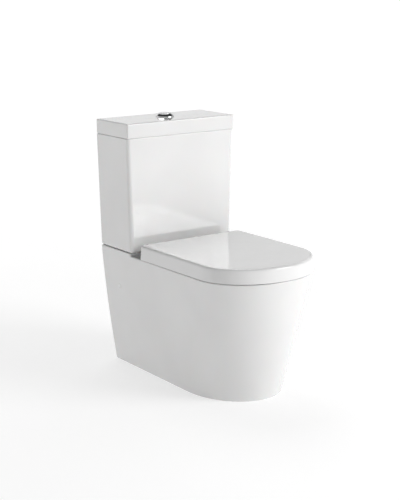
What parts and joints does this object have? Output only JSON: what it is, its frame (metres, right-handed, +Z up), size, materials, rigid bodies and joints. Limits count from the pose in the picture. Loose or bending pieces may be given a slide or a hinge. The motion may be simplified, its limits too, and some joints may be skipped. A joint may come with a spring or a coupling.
{
  "type": "close coupled toilet",
  "caption": "White close coupled toilet, back to the wall, with a tapered cistern, a lift-off cistern lid, a dual flush button, and a hinged seat and lid.",
  "frame": {"origin": "on the floor, under the middle of the suite's bounding box", "axes": "+Z up, the toilet faces -Y, its back is against the wall at +Y"},
  "size_m": [0.39, 0.684, 0.782],
  "materials": {
    "china": "glossy white glaze",
    "seat_plastic": "glossy moulded white",
    "chrome": "polished",
    "white_trim": "glossy moulded white",
    "plated_steel": "bright zinc plate",
    "zinc_bracket": "galvanised",
    "brass": "satin",
    "rubber": "matt black",
    "buffer_rubber": "soft off-white",
    "valve_plastic": "satin moulded white",
    "rod_plastic": "satin moulded blue"
  },
  "bodies": {
    "pan_and_cistern": {"pan": "china", "pan_bowl": "china", "pan_trapway": "china", "fixing_cover_caps": "white_trim", "side_fixing_screws": "plated_steel", "wall_brackets": "zinc_bracket", "cistern": "china", "flush_valve_base": "valve_plastic", "flush_valve_tower": "valve_plastic", "flush_valve_washer": "rubber", "flush_valve_nut": "valve_plastic", "close_coupling_seal": "rubber", "fill_valve_body": "valve_plastic", "fill_valve_washer": "rubber", "fill_valve_nut": "valve_plastic", "float_arm_pin": "valve_plastic", "coupling_bolts": "plated_steel", "coupling_rubber_washers": "rubber", "coupling_steel_washers": "plated_steel", "coupling_wing_nuts": "brass", "hinge_posts": "white_trim", "hinge_pins": "chrome", "hinge_bolts": "plated_steel", "hinge_rubber_washers": "rubber", "hinge_wing_nuts": "valve_plastic"},
    "seat": {"seat": "seat_plastic", "seat_buffers": "buffer_rubber"},
    "seat_lid": {"seat_lid": "seat_plastic", "seat_lid_buffers": "buffer_rubber"},
    "cistern_lid": {"cistern_lid": "china", "button_bezel": "chrome", "button_nut": "valve_plastic"},
    "full_button": {"full_flush_button": "chrome", "full_push_rod": "rod_plastic"},
    "half_button": {"half_flush_button": "chrome", "half_push_rod": "rod_plastic"},
    "full_plunger": {"full_flush_plunger": "rod_plastic"},
    "half_plunger": {"half_flush_plunger": "rod_plastic"},
    "flush_valve_tube": {"overflow_tube": "valve_plastic", "flush_seal": "rubber"},
    "half_float": {"half_flush_float": "valve_plastic"},
    "fill_float": {"fill_valve_float": "valve_plastic", "float_rod": "valve_plastic"},
    "float_arm": {"float_arm": "valve_plastic"}
  },
  "joints": [
    {"name": "seat_hinge", "type": "hinge", "parent": "pan_and_cistern", "child": "seat", "pos_m": [0, 0.11, 0.3915], "axis": [-1, 0, 0], "range_deg": [0, 94]},
    {"name": "seat_lid_hinge", "type": "hinge", "parent": "seat", "child": "seat_lid", "pos_m": [0, 0.11, 0.3915], "axis": [1, 0, 0], "range_deg": [-94, 0]},
    {"name": "cistern_lid_lift", "type": "slide", "parent": "pan_and_cistern", "child": "cistern_lid", "axis": [0, 0, 1], "range_m": [0, 0.12]},
    {"name": "full_button_press", "type": "slide", "parent": "cistern_lid", "child": "full_button", "axis": [0, 0, -1], "range_m": [0, 0.006], "stiffness_N_per_m": 400, "springref_m": -0.008},
    {"name": "half_button_press", "type": "slide", "parent": "cistern_lid", "child": "half_button", "axis": [0, 0, -1], "range_m": [0, 0.006], "stiffness_N_per_m": 400, "springref_m": -0.008},
    {"name": "full_plunger_slide", "type": "slide", "parent": "pan_and_cistern", "child": "full_plunger", "axis": [0, 0, -1], "range_m": [0, 0.006]},
    {"name": "half_plunger_slide", "type": "slide", "parent": "pan_and_cistern", "child": "half_plunger", "axis": [0, 0, -1], "range_m": [0, 0.006]},
    {"name": "flush_valve_lift", "type": "slide", "parent": "pan_and_cistern", "child": "flush_valve_tube", "axis": [0, 0, 1], "range_m": [0, 0.012]},
    {"name": "half_float_slide", "type": "slide", "parent": "pan_and_cistern", "child": "half_float", "axis": [0, 0, -1], "range_m": [0, 0.012]},
    {"name": "fill_float_slide", "type": "slide", "parent": "pan_and_cistern", "child": "fill_float", "axis": [0, 0, 1], "range_m": [-0.008, 0]},
    {"name": "float_arm_tilt", "type": "hinge", "parent": "pan_and_cistern", "child": "float_arm", "pos_m": [-0.138, 0.257, 0.698], "axis": [0, -1, 0], "range_deg": [-13.6, 0]}
  ],
  "couplings": [
    {"joint": "full_plunger_slide", "follows": "full_button_press", "ratio": 1},
    {"joint": "half_plunger_slide", "follows": "half_button_press", "ratio": 1},
    {"joint": "flush_valve_lift", "follows": "full_button_press", "ratio": 2},
    {"joint": "half_float_slide", "follows": "half_button_press", "ratio": 2},
    {"joint": "float_arm_tilt", "follows": "fill_float_slide", "rad_per_m": 29.412}
  ]
}
